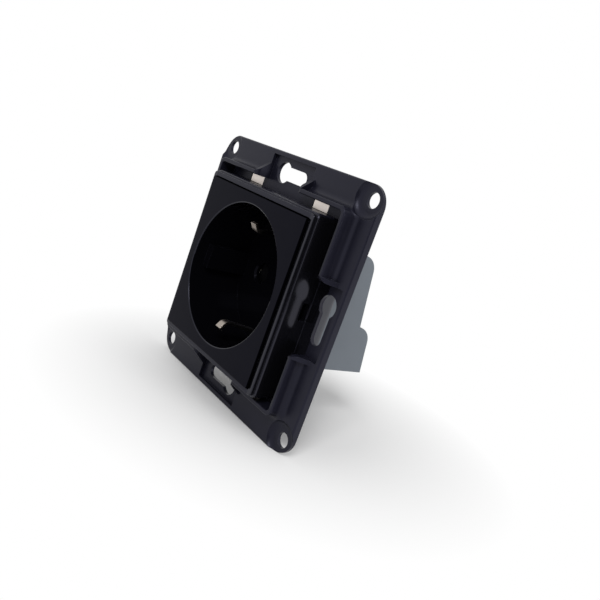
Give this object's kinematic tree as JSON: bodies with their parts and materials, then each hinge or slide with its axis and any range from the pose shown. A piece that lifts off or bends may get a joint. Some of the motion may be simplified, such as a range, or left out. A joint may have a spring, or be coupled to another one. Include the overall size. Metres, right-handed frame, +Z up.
{
  "type": "wall socket",
  "caption": "Recessed wall socket on a square mounting plate with keyhole slots, side earth clips, safety shutter, screw terminals and a stepped rear housing.",
  "frame": {"origin": "centre of the mounting plate's back face, in the wall plane", "axes": "+X to the right as seen from the room, +Y into the wall, +Z up"},
  "size_m": [0.071, 0.0461, 0.071],
  "materials": {
    "plate_black": "satin moulded",
    "insert_black": "fine satin face, glossy recess",
    "cup_black": "matt moulded",
    "housing_grey": "matt moulded",
    "plated_steel": "zinc plated",
    "plated_brass": "nickel plated",
    "brass": "stamped",
    "carrier_ivory": "matt moulded",
    "shutter_black": "satin moulded",
    "spring_steel": "bright wire",
    "board_green": "solder mask",
    "relay_blue": "moulded",
    "module_black": "potted",
    "can_metal": "tinned",
    "capacitor_sleeve": "sleeved",
    "varistor_blue": "dipped",
    "fuse_tan": "lacquered"
  },
  "bodies": {
    "socket": {"mounting_plate": "plate_black", "socket_insert": "insert_black", "well_cup": "cup_black", "rear_housing": "housing_grey", "retaining_frame": "plated_steel", "earth_strap": "plated_brass", "earth_busbar": "brass", "contact_carrier": "carrier_ivory", "live_contact": "brass", "neutral_contact": "brass", "live_busbar": "brass", "shutter_spring": "spring_steel", "circuit_board": "board_green", "relay": "relay_blue", "power_module": "module_black", "radio_module": "can_metal", "capacitor": "capacitor_sleeve", "varistor": "varistor_blue", "fuse_resistor": "fuse_tan", "case_screws": "plated_steel"},
    "shutter": {"shutter": "shutter_black"},
    "live_screw": {"terminal_screw_live": "plated_steel"},
    "live_cage": {"terminal_cage_live": "plated_brass"},
    "earth_screw": {"terminal_screw_earth": "plated_steel"},
    "earth_cage": {"terminal_cage_earth": "plated_brass"},
    "neutral_screw": {"terminal_screw_neutral": "plated_steel"},
    "neutral_cage": {"terminal_cage_neutral": "plated_brass"}
  },
  "joints": [
    {"name": "shutter_slide", "type": "slide", "parent": "socket", "child": "shutter", "axis": [0, 0, 1], "range_m": [0, 0.0062], "stiffness_N_per_m": 60, "springref_m": -0.004, "deforming": ["shutter_spring"]},
    {"name": "live_screw_turn", "type": "hinge", "parent": "socket", "child": "live_screw", "pos_m": [-0.0095, 0.0268, -0.011], "axis": [0, -1, 0], "range_deg": [0, 1080]},
    {"name": "live_cage_lift", "type": "slide", "parent": "socket", "child": "live_cage", "axis": [0, 1, 0], "range_m": [0, 0.0021]},
    {"name": "earth_screw_turn", "type": "hinge", "parent": "socket", "child": "earth_screw", "pos_m": [0, 0.0268, -0.011], "axis": [0, -1, 0], "range_deg": [0, 1080]},
    {"name": "earth_cage_lift", "type": "slide", "parent": "socket", "child": "earth_cage", "axis": [0, 1, 0], "range_m": [0, 0.0021]},
    {"name": "neutral_screw_turn", "type": "hinge", "parent": "socket", "child": "neutral_screw", "pos_m": [0.0095, 0.0268, -0.011], "axis": [0, -1, 0], "range_deg": [0, 1080]},
    {"name": "neutral_cage_lift", "type": "slide", "parent": "socket", "child": "neutral_cage", "axis": [0, 1, 0], "range_m": [0, 0.0021]}
  ],
  "couplings": [
    {"joint": "live_screw_turn", "follows": "live_cage_lift", "rad_per_m": 8975.9},
    {"joint": "earth_screw_turn", "follows": "earth_cage_lift", "rad_per_m": 8975.9},
    {"joint": "neutral_screw_turn", "follows": "neutral_cage_lift", "rad_per_m": 8975.9}
  ]
}
